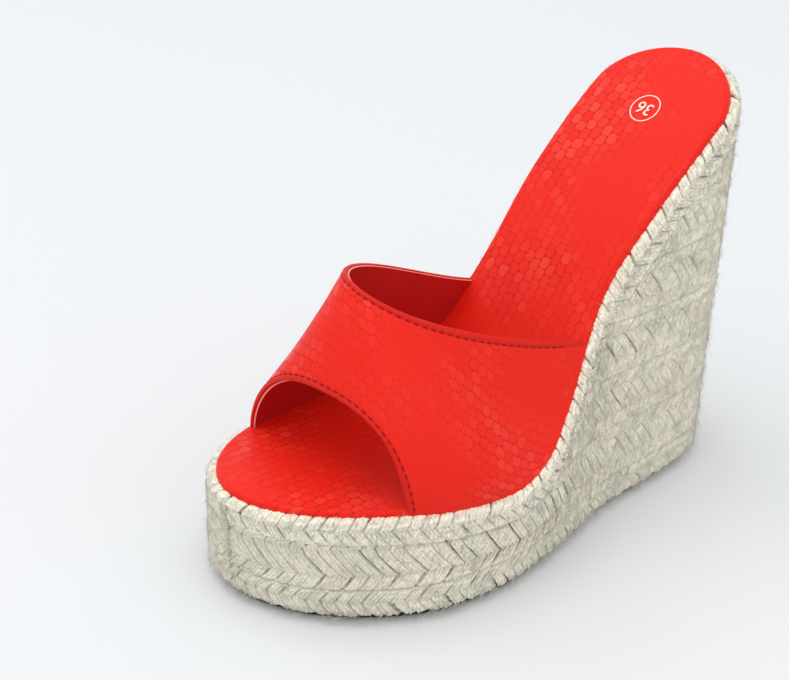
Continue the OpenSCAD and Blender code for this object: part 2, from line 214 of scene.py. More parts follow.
def to_shoe(points):
    """From millimetres in the heel frame to metres in the shoe's frame."""
    return (np.asarray(points) - CENTRE) * MM


cover_low, cover_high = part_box("footbed_cover")
cover_top = to_shoe(contour(lambda s, side, depth: edge(s, side, 0, 0), OVERHANG))
print("centre", CENTRE.round(2), "footbed edge", cover_top.min(0).round(4), cover_top.max(0).round(4))
print("footbed cover solid", list(cover_low), list(cover_high))

# %% [markdown]
# ## The band's surface
# The band is one sheet over the foot. across runs from 0 at its front edge to 1 at its rear edge,
# turn from 0 degrees at the lateral side over the foot to 180 at the medial side, and height from
# the lining's inner face outwards. Straight lines join the two edges, as a flat piece of leather
# bends, and close to its feet the band follows the footbed's outline.
# %% Arches of the band's two edges
BAND_THICKNESS = 2.34
BAND_INSET = BAND_THICKNESS + 0.1
FRONT_ARCH = np.array([199, 204, 4, 31.5, 2.6, 2.4, 1.75, -0.15, 0])
REAR_ARCH = np.array([108, 106, 71, 30, 2.3, 2.8, 2.35, 0.16, 0.14])
FOLLOW_POWER = 3.2
BAND_SWELL = np.array([0.9, 0, 1.5])


def band_foot(place, side):
    return edge(place, side, BAND_INSET, -2)


def arch_curve(a, turn):
    left, right = band_foot(a[0], LATERAL), band_foot(a[1], MEDIAL)
    c = np.cos(turn)[..., None]
    u = np.clip(np.sin(turn), 0, 1)[..., None]
    span = np.sign(c) * np.abs(c) ** (2 / a[4])
    forward = a[2] * u ** (2 / a[5]) * (1 + a[8] * c)
    up = a[3] * u ** (2 / a[6])
    return (left + right) / 2 + (left - right) / 2 * span + np.concatenate([forward, -a[7] * up, up], -1)


def arch_point(across, turn):
    across, turn = np.broadcast_arrays(np.asarray(across, float), turn)
    side = np.where(turn <= np.pi / 2, LATERAL, MEDIAL)
    first = np.where(side == LATERAL, FRONT_ARCH[0], FRONT_ARCH[1])
    last = np.where(side == LATERAL, REAR_ARCH[0], REAR_ARCH[1])
    v = across[..., None]
    straight = band_foot(first, side) * (1 - v) + band_foot(last, side) * v
    foot = band_foot(first * (1 - across) + last * across, side) - straight
    ruled = arch_curve(FRONT_ARCH, turn) * (1 - v) + arch_curve(REAR_ARCH, turn) * v
    swell = 4 * v * (1 - v) * np.clip(np.sin(turn), 0, 1)[..., None] * BAND_SWELL
    return ruled + foot * np.abs(np.cos(turn))[..., None] ** FOLLOW_POWER + swell


def band_point(across, turn, height):
    """Point of the band in the heel frame."""
    across, turn, height = np.broadcast_arrays(np.asarray(across, float), turn, height)
    t = np.clip(turn, np.radians(2), np.radians(178))
    v = np.clip(across, 0.02, 0.98)
    along = arch_point(v, t + 0.01) - arch_point(v, t - 0.01)
    over = arch_point(v + 0.01, t) - arch_point(v - 0.01, t)
    normal = np.cross(over, along)
    normal /= np.linalg.norm(normal, axis=-1, keepdims=True)
    return arch_point(across, turn) + height[..., None] * normal


# %% [markdown]
# ## Helpers for every piece
# Flat sheets start as a grid primitive and are laid on their surface point by point, as leather is
# pulled over a last. Yarns, threads and fibres start as curves with a round bevel, which one
# operator turns into a mesh. Both end as closed meshes at the origin that ride on the shoe.
# %% Selection, grids and modifiers
def deselect():
    if bpy.context.object and bpy.context.object.mode != "OBJECT":
        bpy.ops.object.mode_set(mode="OBJECT")
    bpy.ops.object.select_all(action="DESELECT")


def activate(piece):
    deselect()
    piece.select_set(True)
    bpy.context.view_layer.objects.active = piece


def edit_all(piece, *steps):
    """Runs edit-mode operators on everything in the mesh."""
    activate(piece)
    bpy.ops.object.mode_set(mode="EDIT")
    bpy.ops.mesh.select_all(action="SELECT")
    for step in steps:
        step()
    bpy.ops.object.mode_set(mode="OBJECT")


def weld():
    bpy.ops.mesh.remove_doubles(threshold=2e-6)


def face_outwards():
    bpy.ops.mesh.normals_make_consistent(inside=False)


def apply_modifier(piece, kind, **settings):
    activate(piece)
    modifier = piece.modifiers.new(kind, kind)
    for name, value in settings.items():
        setattr(modifier, name, value)
    bpy.ops.object.modifier_apply(modifier=modifier.name)


def points_of(piece):
    co = np.empty(len(piece.data.vertices) * 3)
    piece.data.vertices.foreach_get("co", co)
    return co.reshape(-1, 3)


def place_points(piece, points):
    piece.data.vertices.foreach_set("co", np.asarray(points, float).ravel())
    piece.data.update()


def set_attribute(piece, name, values):
    layer = piece.data.attributes.new(name, "FLOAT", "POINT")
    layer.data.foreach_set("value", np.asarray(values, np.float32).ravel())


def set_uv(piece, coordinates):
    """Gives each corner the flat coordinates of its vertex, in centimetres."""
    layer = piece.data.uv_layers.new(name="flat")
    corners = np.empty(len(piece.data.loops), int)
    piece.data.loops.foreach_get("vertex_index", corners)
    layer.data.foreach_set("uv", np.asarray(coordinates, np.float32)[corners].ravel())
    layer.active = True
    layer.active_render = True


def flat_grid(name, columns, rows):
    """A flat grid of columns by rows points. Returns it and the two indices of each of its points."""
    deselect()
    bpy.ops.mesh.primitive_grid_add(x_subdivisions=columns - 1, y_subdivisions=rows - 1, size=1)
    piece = bpy.context.object
    piece.name = name
    piece.data.name = name
    co = points_of(piece)
    i = np.rint((co[:, 0] + 0.5) * (columns - 1)).astype(int)
    j = np.rint((co[:, 1] + 0.5) * (rows - 1)).astype(int)
    for layer in list(piece.data.uv_layers):
        piece.data.uv_layers.remove(layer)
    return piece, i, j


def shade(piece, angle=40):
    activate(piece)
    bpy.ops.object.shade_smooth_by_angle(angle=math.radians(angle))


def finish_piece(piece, material, slot, *nodes):
    """Gives a piece its finish and hangs it on the shoe."""
    if not piece.data.materials:
        piece.data.materials.append(material)
    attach(piece, "root")
    if nodes:
        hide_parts(*nodes)
    piece.data.calc_loop_triangles()
    print(piece.name, len(piece.data.loop_triangles), "triangles")


# %% Yarns as bevelled curves
def tubes(name, paths, radius, resolution=1, tones=None, radii=None):
    """One mesh of closed round tubes along the paths, with lengths and tones kept for the material."""
    curve = bpy.data.curves.new(name, "CURVE")
    curve.dimensions = "3D"
    curve.bevel_depth = radius
    curve.bevel_resolution = resolution
    curve.use_fill_caps = True
    curve.twist_mode = "Z_UP"
    for k, path in enumerate(paths):
        spline = curve.splines.new("POLY")
        spline.points.add(len(path) - 1)
        spline.points.foreach_set("co", np.column_stack([path, np.ones(len(path))]).ravel())
        if radii is not None:
            spline.points.foreach_set("radius", radii[k])
    piece = bpy.data.objects.new(name, curve)
    bpy.context.scene.collection.objects.link(piece)
    activate(piece)
    bpy.ops.object.convert(target="MESH")
    piece = bpy.context.object
    piece.data.name = name
    sides = 4 + 2 * resolution
    caps = 2 * sides * len(paths)
    lengths = [np.concatenate([[0], np.cumsum(np.linalg.norm(np.diff(p, axis=0), axis=1))]) for p in paths]
    along = np.concatenate([np.zeros(caps)] + [np.repeat(length, sides) for length in lengths])
    tones = np.zeros(len(paths)) if tones is None else tones
    tone = np.concatenate([np.zeros(caps)] + [np.full(len(p) * sides, t) for p, t in zip(paths, tones)])
    assert len(along) == len(piece.data.vertices), (len(along), len(piece.data.vertices))
    around = np.concatenate([np.zeros(caps)] + [np.tile(np.arange(sides) / sides, len(p)) for p in paths])
    set_attribute(piece, "tone", tone)
    set_attribute(piece, "along", along)
    set_attribute(piece, "around", around)
    for layer in list(piece.data.uv_layers):
        piece.data.uv_layers.remove(layer)
    edit_all(piece, lambda: bpy.ops.mesh.remove_doubles(threshold=1e-6))
    return piece


# %% [markdown]
# ## Finishes
# Each material is built from Blender's procedural nodes. What several finishes share, such as the
# fine grain and the slow change of colour over a surface, is a node group with named inputs. The
# shader itself, and every value that is the same all over, stays in the material.
# %% Node helpers
def new_material(name):
    material = bpy.data.materials.new(name)
    material.use_nodes = True
    return material, material.node_tree.nodes, material.node_tree.links


def add(nodes, kind, **inputs):
    """Adds a node and sets its inputs by name."""
    node = nodes.new(kind)
    for name, value in inputs.items():
        node.inputs[name.replace("_", " ")].default_value = value
    return node


def maths(tree, operation, a, b=None, clamp=False):
    node = tree.nodes.new("ShaderNodeMath")
    node.operation = operation
    node.use_clamp = clamp
    for socket, value in zip(node.inputs, (a, b)):
        if isinstance(value, (int, float)):
            socket.default_value = value
        elif value is not None:
            tree.links.new(value, socket)
    return node.outputs[0]


def blend_colours(tree, share, first, second, kind="MIX"):
    node = tree.nodes.new("ShaderNodeMix")
    node.data_type = "RGBA"
    node.blend_type = kind
    for socket, value in ((node.inputs[0], share), (node.inputs[6], first), (node.inputs[7], second)):
        if isinstance(value, (int, float, tuple)):
            socket.default_value = value
        else:
            tree.links.new(value, socket)
    return node.outputs[2]


def attribute(tree, name):
    node = tree.nodes.new("ShaderNodeAttribute")
    node.attribute_name = name
    return node.outputs["Fac"]


def make_group(name, inputs, outputs):
    group = bpy.data.node_groups.new(name, "ShaderNodeTree")
    for label, kind, value in inputs:
        socket = group.interface.new_socket(label, in_out="INPUT", socket_type=kind)
        if value is not None:
            socket.default_value = value
    for label, kind in outputs:
        group.interface.new_socket(label, in_out="OUTPUT", socket_type=kind)
    return group, group.nodes.new("NodeGroupInput"), group.nodes.new("NodeGroupOutput")


def use_group(tree, group, **inputs):
    node = tree.nodes.new("ShaderNodeGroup")
    node.node_tree = group
    for name, value in inputs.items():
        socket = node.inputs[name.replace("_", " ")]
        if isinstance(value, (int, float, tuple)):
            socket.default_value = value
        else:
            tree.links.new(value, socket)
    return node


# %% Shared groups: fine grain, and slow mottling of a colour
grain_group, g_in, g_out = make_group(
    "fine_grain",
    [("Vector", "NodeSocketVector", None), ("Scale", "NodeSocketFloat", 1500.0),
     ("Detail", "NodeSocketFloat", 4.0)],
    [("Height", "NodeSocketFloat"), ("Speck", "NodeSocketFloat")])
noise = grain_group.nodes.new("ShaderNodeTexNoise")
grain_group.links.new(g_in.outputs["Vector"], noise.inputs["Vector"])
grain_group.links.new(g_in.outputs["Scale"], noise.inputs["Scale"])
grain_group.links.new(g_in.outputs["Detail"], noise.inputs["Detail"])
grain_group.links.new(noise.outputs["Fac"], g_out.inputs["Height"])
grain_group.links.new(maths(grain_group, "GREATER_THAN", noise.outputs["Fac"], 0.6), g_out.inputs["Speck"])

mottle_group, m_in, m_out = make_group(
    "mottle",
    [("Vector", "NodeSocketVector", None), ("Colour", "NodeSocketColor", (1, 1, 1, 1)),
     ("Scale", "NodeSocketFloat", 40.0), ("Strength", "NodeSocketFloat", 0.1)],
    [("Colour", "NodeSocketColor"), ("Mask", "NodeSocketFloat")])
noise = mottle_group.nodes.new("ShaderNodeTexNoise")
noise.inputs["Detail"].default_value = 3
mottle_group.links.new(m_in.outputs["Vector"], noise.inputs["Vector"])
mottle_group.links.new(m_in.outputs["Scale"], noise.inputs["Scale"])
centred = maths(mottle_group, "SUBTRACT", noise.outputs["Fac"], 0.5)
swing = maths(mottle_group, "MULTIPLY", centred, m_in.outputs["Strength"])
level = maths(mottle_group, "MULTIPLY_ADD", swing, 2.0)
level.node.inputs[2].default_value = 1.0
scaled = mottle_group.nodes.new("ShaderNodeVectorMath")
scaled.operation = "SCALE"
mottle_group.links.new(m_in.outputs["Colour"], scaled.inputs[0])
mottle_group.links.new(level, scaled.inputs["Scale"])
mottle_group.links.new(scaled.outputs[0], m_out.inputs["Colour"])
mottle_group.links.new(noise.outputs["Fac"], m_out.inputs["Mask"])


def plain_finish(name, colour, roughness, grain=1500, relief=0.00002, mottle=0.12, mottle_scale=60,
                 metallic=0.0, sheen=0.0):
    """A simple finish: mottled colour, grain in its bump, and a roughness that varies a little."""
    material, nodes, links = new_material(name)
    tree = material.node_tree
    shader = nodes["Principled BSDF"]
    place = nodes.new("ShaderNodeTexCoord").outputs["Object"]
    coloured = use_group(
        tree, mottle_group, Vector=place, Colour=(*colour, 1), Scale=mottle_scale, Strength=mottle)
    grained = use_group(tree, grain_group, Vector=place, Scale=grain)
    links.new(coloured.outputs["Colour"], shader.inputs["Base Color"])
    varied = maths(tree, "MULTIPLY_ADD", coloured.outputs["Mask"], 0.16)
    varied.node.inputs[2].default_value = roughness - 0.08
    links.new(varied, shader.inputs["Roughness"])
    bump = add(nodes, "ShaderNodeBump", Strength=1.0, Distance=relief)
    links.new(grained.outputs["Height"], bump.inputs["Height"])
    links.new(bump.outputs["Normal"], shader.inputs["Normal"])
    shader.inputs["Metallic"].default_value = metallic
    shader.inputs["Specular IOR Level"].default_value = 0.5 if metallic else 0.15
    shader.inputs["Sheen Weight"].default_value = sheen
    return material


# %% [markdown]
# ## Embossing
# The red skin is coated cloth, pressed between hot rollers into rounded pads with thin grooves. The
# pads could be raised in the mesh, but they stand up by less than the skin's grain is wide, and a
# mesh fine enough to hold them would be far too heavy. So they are a pattern on the sheet's own flat
# coordinates, which follows the leather round every fold: rows of cells, every other row moved by
# half a cell, pulled out of line by a slow noise. Each cell also gets a random tone, which picks the
# pads that are painted lighter and pinker as a glint of sheen.
# %% Shared group: pads of the embossing, from the flat coordinates of the sheet in centimetres
PAD_LONG = 0.41
PAD_PITCH = 0.36
PAD_SQUARENESS = 3.4
PAD_SLOPE = 2.6
PAD_WOBBLE = 0.2

pads_group, p_in, p_out = make_group(
    "scale_pads", [("Vector", "NodeSocketVector", None)],
    [("Pad", "NodeSocketFloat"), ("Tone", "NodeSocketFloat")])
wobble = add(pads_group.nodes, "ShaderNodeTexNoise", Scale=2.6, Detail=2.0)
pads_group.links.new(p_in.outputs["Vector"], wobble.inputs["Vector"])
warped = pads_group.nodes.new("ShaderNodeVectorMath")
warped.operation = "MULTIPLY_ADD"
warped.inputs[1].default_value = (PAD_WOBBLE, PAD_WOBBLE, 0)
pads_group.links.new(wobble.outputs["Color"], warped.inputs[0])
pads_group.links.new(p_in.outputs["Vector"], warped.inputs[2])
parts = pads_group.nodes.new("ShaderNodeSeparateXYZ")
pads_group.links.new(warped.outputs[0], parts.inputs[0])
lifted = maths(pads_group, "DIVIDE", parts.outputs["Y"], PAD_PITCH)
row_number = maths(pads_group, "FLOOR", lifted)
staggered = maths(pads_group, "MULTIPLY", maths(pads_group, "FLOORED_MODULO", row_number, 2.0), 0.5)
moved = maths(pads_group, "ADD", maths(pads_group, "DIVIDE", parts.outputs["X"], PAD_LONG), staggered)


def from_middle(value):
    """A power of the distance from a cell's middle, 1 at its border. A high one squares the pad."""
    half = maths(pads_group, "SUBTRACT", maths(pads_group, "FRACT", value), 0.5)
    distance = maths(pads_group, "ABSOLUTE", maths(pads_group, "MULTIPLY", half, 2.0))
    return maths(pads_group, "POWER", distance, PAD_SQUARENESS)


border = maths(pads_group, "ADD", from_middle(moved), from_middle(lifted))
raised = maths(pads_group, "MULTIPLY", maths(pads_group, "SUBTRACT", 1.0, border), PAD_SLOPE, clamp=True)
pads_group.links.new(raised, p_out.inputs["Pad"])
cell = pads_group.nodes.new("ShaderNodeCombineXYZ")
pads_group.links.new(maths(pads_group, "FLOOR", moved), cell.inputs[0])
pads_group.links.new(row_number, cell.inputs[1])
chance = pads_group.nodes.new("ShaderNodeTexWhiteNoise")
pads_group.links.new(cell.outputs[0], chance.inputs["Vector"])
pads_group.links.new(chance.outputs["Value"], p_out.inputs["Tone"])


# %% Embossed red skin
def embossed_finish(name, pad_colour, groove_colour, glint_colour):
    """Embossed coated cloth: satin pads, thin duller grooves, and a fine grain. In random patches the grooves
    show more and some pads are painted lighter and pinker, as a glint of sheen.
    """
    material, nodes, links = new_material(name)
    tree = material.node_tree
    shader = nodes["Principled BSDF"]
    place = nodes.new("ShaderNodeTexCoord").outputs["Object"]
    flat = nodes.new("ShaderNodeUVMap")
    flat.uv_map = "flat"
    pads = use_group(tree, pads_group, Vector=flat.outputs["UV"])
    pad, tone = pads.outputs["Pad"], pads.outputs["Tone"]
    seam = attribute(tree, "plain")
    # Patches where the pattern shows clearest and the pads carry a painted glint of sheen.
    sheen_patches = add(nodes, "ShaderNodeTexNoise", Scale=26.0, Detail=2.0)
    links.new(place, sheen_patches.inputs["Vector"])
    sheen_patch = maths(tree, "MULTIPLY", maths(tree, "SUBTRACT", sheen_patches.outputs["Fac"], 0.42), 4.5, clamp=True)
    sheen_patch = maths(tree, "MULTIPLY", sheen_patch, maths(tree, "SUBTRACT", 1.0, seam))
    groove = maths(tree, "SUBTRACT", 1.0, pad)
    share = maths(tree, "MULTIPLY_ADD", sheen_patch, 0.5)
    share.node.inputs[2].default_value = 0.12
    grooved = blend_colours(tree, maths(tree, "MULTIPLY", groove, share), pad_colour, groove_colour)
    # Painted glint: pads picked by their random tone turn lighter and pinker, and a little smoother.
    painted_glint = maths(tree, "MULTIPLY", maths(tree, "POWER", tone, 2.0), maths(tree, "MULTIPLY", pad, sheen_patch))
    colour = blend_colours(tree, maths(tree, "MULTIPLY", painted_glint, 0.6), grooved, glint_colour)
    dark = blend_colours(tree, maths(tree, "MULTIPLY", seam, 0.35), colour, groove_colour)
    coloured = use_group(tree, mottle_group, Vector=place, Colour=dark, Scale=22.0, Strength=0.05)
    links.new(coloured.outputs["Colour"], shader.inputs["Base Color"])
    rough = maths(tree, "MULTIPLY_ADD", painted_glint, -0.2)
    rough.node.inputs[2].default_value = 0.52
    links.new(rough, shader.inputs["Roughness"])
    grained = use_group(tree, grain_group, Vector=place, Scale=2600.0)
    fine = add(nodes, "ShaderNodeBump", Strength=0.5, Distance=0.00002)
    links.new(grained.outputs["Height"], fine.inputs["Height"])
    relief = add(nodes, "ShaderNodeBump", Strength=1.0, Distance=0.00006)
    links.new(maths(tree, "MULTIPLY", pad, share), relief.inputs["Height"])
    links.new(fine.outputs["Normal"], relief.inputs["Normal"])
    links.new(relief.outputs["Normal"], shader.inputs["Normal"])
    shader.inputs["Specular IOR Level"].default_value = 0.17
    return material


# Pad colour, groove colour and the painted glint colour of the red skin.
red_skin = embossed_finish(
    "embossed_red_skin", (0.8, 0.015, 0.006, 1), (0.4, 0.006, 0.003, 1), (0.9, 0.065, 0.038, 1))


# %% Jute yarn
TWISTS_PER_METRE = 260.0
STREAKS_PER_METRE = 220.0
# Painted shade: the colour the jute is darkened towards deep between the yarns.
GAP_SHADE_COLOUR = (0.3, 0.235, 0.13, 1)


def jute_finish(name, colour, dark):
    """Raw jute: every yarn has its own tone, twisted fibres along it, and a dry matt face. Where a yarn lies
    deep in the plait its colour is darkened as painted shade.
    """
    material, nodes, links = new_material(name)
    tree = material.node_tree
    shader = nodes["Principled BSDF"]
    place = nodes.new("ShaderNodeTexCoord").outputs["Object"]
    tone = attribute(tree, "tone")
    combined = nodes.new("ShaderNodeCombineXYZ")
    twist = maths(tree, "MULTIPLY_ADD", attribute(tree, "along"), TWISTS_PER_METRE)
    links.new(attribute(tree, "around"), twist.node.inputs[2])
    links.new(maths(tree, "MULTIPLY", attribute(tree, "along"), STREAKS_PER_METRE), combined.inputs[0])
    wrapped = maths(tree, "MULTIPLY", maths(tree, "FRACT", twist), 6.2832)
    links.new(maths(tree, "MULTIPLY", maths(tree, "SINE", wrapped), 2.2), combined.inputs[1])
    links.new(maths(tree, "MULTIPLY", tone, 37.0), combined.inputs[2])
    fibre = add(nodes, "ShaderNodeTexNoise", Scale=1.6, Detail=5.0, Roughness=0.65)
    links.new(combined.outputs[0], fibre.inputs["Vector"])
    base_colour = blend_colours(tree, maths(tree, "MULTIPLY", tone, 0.3), colour, dark)
    streaked = blend_colours(tree, maths(tree, "MULTIPLY", fibre.outputs["Fac"], 0.3), base_colour, dark)
    # Painted shade deep between the yarns, from how deep each point lies in the plait.
    yarn_gap_shade = maths(tree, "MULTIPLY", attribute(tree, "deep"), 0.34)
    shaded = blend_colours(tree, yarn_gap_shade, streaked, GAP_SHADE_COLOUR)
    speckled = use_group(tree, mottle_group, Vector=place, Colour=shaded, Scale=1300.0, Strength=0.3)
    coloured = use_group(
        tree, mottle_group, Vector=place, Colour=speckled.outputs["Colour"], Scale=60.0, Strength=0.1)
    links.new(coloured.outputs["Colour"], shader.inputs["Base Color"])
    shader.inputs["Roughness"].default_value = 0.9
    bump = add(nodes, "ShaderNodeBump", Strength=1.0, Distance=0.0005)
    links.new(fibre.outputs["Fac"], bump.inputs["Height"])
    links.new(bump.outputs["Normal"], shader.inputs["Normal"])
    shader.inputs["Specular IOR Level"].default_value = 0.2
    shader.inputs["Sheen Weight"].default_value = 0.25
    shader.inputs["Sheen Roughness"].default_value = 0.6
    return material


jute = jute_finish("raw_jute", (1.0, 0.955, 0.8, 1), (0.88, 0.79, 0.58, 1))
jute_loose = jute_finish("loose_jute_fibre", (0.9, 0.87, 0.77, 1), (0.7, 0.64, 0.5, 1))

# %% The other finishes
lining_suede = plain_finish("crimson_lining", (0.5, 0.012, 0.011), 0.7, grain=900, relief=0.00004)
cut_edge = plain_finish("pale_cut_edge", (0.86, 0.38, 0.33), 0.75, grain=2500)
thread_red = plain_finish("red_thread", (0.3, 0.008, 0.007), 0.55, grain=4000, relief=0.00003)
black_rubber = plain_finish("black_rubber", (0.012, 0.012, 0.013), 0.6, grain=1200, relief=0.00004)
foil = plain_finish("silver_foil", (0.93, 0.6, 0.52), 0.38, grain=3000, relief=0.000006, metallic=0.6)
wedge_foam = plain_finish("tan_wedge_foam", (0.55, 0.45, 0.3), 0.9, grain=500, relief=0.0001)
board = plain_finish(
    "fibre_board", (0.42, 0.31, 0.18), 0.85, grain=700, relief=0.00005, mottle=0.3, mottle_scale=300)
pale_foam = plain_finish("pale_foam", (0.86, 0.83, 0.74), 0.95, grain=900, relief=0.0001)
steel = plain_finish("brushed_spring_steel", (0.55, 0.56, 0.58), 0.32, grain=2000, metallic=1.0)
brass = plain_finish("brass", (0.7, 0.52, 0.22), 0.35, grain=2500, metallic=1.0)
cloth = plain_finish("white_interlining", (0.8, 0.8, 0.78), 0.9, grain=1800, relief=0.00004, sheen=0.3)

# %% Finishes of the solids that stay
FINISH_OF = {
    "wedge_core": wedge_foam, "insole_board": board, "heel_stiffener": board, "steel_shank": steel,
    "shank_rivets": brass, "heel_nails": steel, "forepart_filler": pale_foam, "footbed_foam": pale_foam}
for name, finish in FINISH_OF.items():
    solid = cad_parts[name]
    solid.data.materials.clear()
    solid.data.materials.append(finish)
print("finished solids:", ", ".join(FINISH_OF))


# %% [markdown]
# ## Jute plait
# The wedge is wrapped in rows of flat seven-strand plait, each strand a bundle of three parallel
# yarns. It could be a texture on the wall, but its outline and its gaps would be missing, so every
# yarn is a tube. One flat plait is laid out along x first. A strand runs from edge to edge of the
# plait at a slant: on its way up it lies on top near both edges and below in the middle, on its way
# down it is the other way round. The finished mesh is then wrapped round the wall point by point.
# %% A flat plait
STRANDS = 7
YARNS = 3
PLAIT_WIDTH = 18.7
PLAIT_PERIOD = 32.0
ZONE_EDGE = 4.65
YARN_RADIUS = 0.86
LAYER = 0.78
EDGE_LIFT = 0.4
YARN_SPREAD = 0.27
DRIFT = 0.022
SHORTEST_RUN = 4
random = np.random.default_rng(7)


def wander(x, length, finest):
    """A slow random wave along x that meets itself at the end."""
    turns = np.arange(2, finest)
    phases = random.uniform(0, 2 * np.pi, len(turns))
    sizes = random.uniform(-1, 1, len(turns)) / math.sqrt(len(turns))
    return (sizes[:, None] * np.sin(2 * np.pi * turns[:, None] * x / length + phases[:, None])).sum(0)


def plait(length, lean, step=1.3):
    """Centre lines of the yarns as (x, v, h): along, across from the lower edge, and above the middle."""
    periods = max(1, round(length / PLAIT_PERIOD))
    x = np.linspace(0, length, int(periods * PLAIT_PERIOD / step))
    lines, tones = [], []
    for k in range(STRANDS):
        strand_tone = random.uniform(0, 0.6)
        drift = wander(x, length, 14) * DRIFT
        for j in range(YARNS):
            spread = (j - 1) * YARN_SPREAD
            waves = wander(x, length, 60)
            p = periods * lean * x / length + (k + spread) / STRANDS + drift + 0.008 * waves
            angle = 2 * np.pi * p
            rise = np.arcsin(0.955 * np.sin(angle)) / math.asin(0.955)
            y = (PLAIT_WIDTH / 2 - YARN_RADIUS / 2) * rise
            heading = np.tanh(4.5 * np.cos(angle))
            zone = np.tanh((np.abs(y) - ZONE_EDGE) / 0.9)
            crown = 0.22 * (1 - abs(j - 1))
            lift = EDGE_LIFT * ease((np.abs(y) - 6.5) / 2.5)
            h = (LAYER + crown) * zone * heading + lift + 0.1 * waves
            lines.append(np.column_stack([x, y + PLAIT_WIDTH / 2, h]))
            tones.append(np.clip(strand_tone + random.uniform(-0.3, 0.5), 0, 1))
    return lines, tones


def kept_runs(lines, tones, keep):
    """Cuts the lines where keep is false. Each run left becomes a yarn of its own."""
    runs, run_tones = [], []
    for line, tone in zip(lines, tones):
        mask = keep(line)
        steps = np.flatnonzero(np.diff(np.concatenate([[0], mask.astype(int), [0]])))
        for a, b in zip(steps[::2], steps[1::2]):
            if b - a >= SHORTEST_RUN:
                runs.append(line[a:b])
                run_tones.append(tone)
    return runs, run_tones


def mark_depth(piece, h):
    """Keeps how deep each point lies in the plait, from 0 on top to 1 deep between the yarns, for the painted
    shade there.
    """
    set_attribute(piece, "deep", np.clip((0.95 - h) / 1.3, 0, 1))


# %% Lengths and heights along the wall
ROWS = 7
FIRST_SEAM = 12.4
PLAIT_DEPTH = 3.8
TOPLINE_WIDTH = 7.5

shoulder_run = np.roll(SHOULDER_OUT, -1, 0) - np.roll(SHOULDER_OUT, 1, 0)
shoulder_flat = np.linalg.norm(shoulder_run[:, :2], axis=1) / np.linalg.norm(shoulder_run, axis=1)
TOPLINE_EDGE = (SHOULDER_OUT[:, 2] - TOPLINE_WIDTH / shoulder_flat)[:, None]


def loop_length(line):
    """Length up to each index of a closed line, with the whole length at the end."""
    return np.concatenate([[0], np.cumsum(np.linalg.norm(np.roll(line, -1, 0) - line, axis=1))])


index = np.arange(LOOP + 1)
print("round the shoulder:", loop_length(SHOULDER_OUT)[-1].round(1), "mm")

# %% [markdown]
# A row follows a level line round the wedge. Its upper end dives under the topline plait, which
# crosses it at a slant, the lowest row turns in under the wedge, onto the outsole, and the last one
# is stretched until it meets the topline at the back of the heel.
# %% The rows
BOTTOM_TURN = 1.2
LEVEL_UP = 6
LOWEST = 0.8
UNDER_TOPLINE = 3.5
LAST_ROW_OVERLAP = 2.5
DIVE = 2.4
DIVE_START = 1.2
DIVE_LENGTH = 3.5


def lay_row(k):
    low = FIRST_SEAM + (k - 2) * PLAIT_WIDTH
    level = max(low, SOLE_TOP) + LEVEL_UP
    level_line = wall(np.arange(LOOP, dtype=float), np.full(LOOP, level), np.zeros(LOOP))
    lengths = loop_length(level_line)
    lines, tones = plait(lengths[-1], -1)

    def top_edge(x):
        return at(TOPLINE_EDGE, np.interp(x, lengths, index))[..., 0]

    def keep(line):
        z = low + line[:, 1]
        return (z < top_edge(line[:, 0]) + UNDER_TOPLINE) & (z > LOWEST)

    runs, run_tones = kept_runs(lines, tones, keep)
    piece = tubes(f"jute_row_{k}", [run * MM for run in runs], YARN_RADIUS * MM, tones=run_tones)
    x, v, h = (points_of(piece) / MM).T
    f = np.interp(x, lengths, index)
    z = low + v
    topline = at(TOPLINE_EDGE, f)[:, 0]
    if k == ROWS:
        z = low + v * np.maximum(1, (topline + LAST_ROW_OVERLAP - low) / PLAIT_WIDTH)
    half = PLAIT_DEPTH / 2
    depth = half - h
    depth = depth + DIVE * ease((z - topline + DIVE_START) / DIVE_LENGTH)
    if k == 1:
        turn_z = JUTE_BOTTOM + half + BOTTOM_TURN
        turn = np.clip((turn_z - z) / BOTTOM_TURN, 0, np.pi / 2)
        past = np.clip(turn_z - z - BOTTOM_TURN * np.pi / 2, 0, None)
        reach = BOTTOM_TURN + h
        turned_z = turn_z - reach * np.sin(turn)
        turned_depth = half + BOTTOM_TURN - reach * np.cos(turn) + past
        depth = np.where(z < turn_z, turned_depth, depth)
        z = np.where(z < turn_z, turned_z, z)
    place_points(piece, to_shoe(wall(f, z, depth)))
    mark_depth(piece, h)
    return piece


for k in range(1, ROWS + 1):
    row = lay_row(k)
    edit_all(row, face_outwards)
    shade(row, 80)
    finish_piece(row, jute, "jute_braid", f"braid_row_{k}")

# %% [markdown]
# The topline plait follows the edge of the footbed all the way round. It stands on the wall, turns
# over a rounded shoulder and ends under the footbed's rolled edge. It is plaited the other way.
# %% The topline plait
SHOULDER_TURN = 1.3
WALL_PART = 5.9
SHOULDER_MIDDLE = 1.2
SQUEEZE = 0.75
TOPLINE_CUT = 11.5

TOPLINE_LENGTHS = loop_length(SHOULDER_OUT)
tangent = shoulder_run / np.linalg.norm(shoulder_run, axis=1, keepdims=True)


def across_edge(direction):
    """The part of a direction that is square to the shoulder line."""
    square = direction - (direction * tangent).sum(1, keepdims=True) * tangent
    return square / np.linalg.norm(square, axis=1, keepdims=True)


INWARDS = across_edge(SHOULDER_IN - SHOULDER_OUT)
UPWARDS = across_edge(SHOULDER_OUT - BASE_OUT)


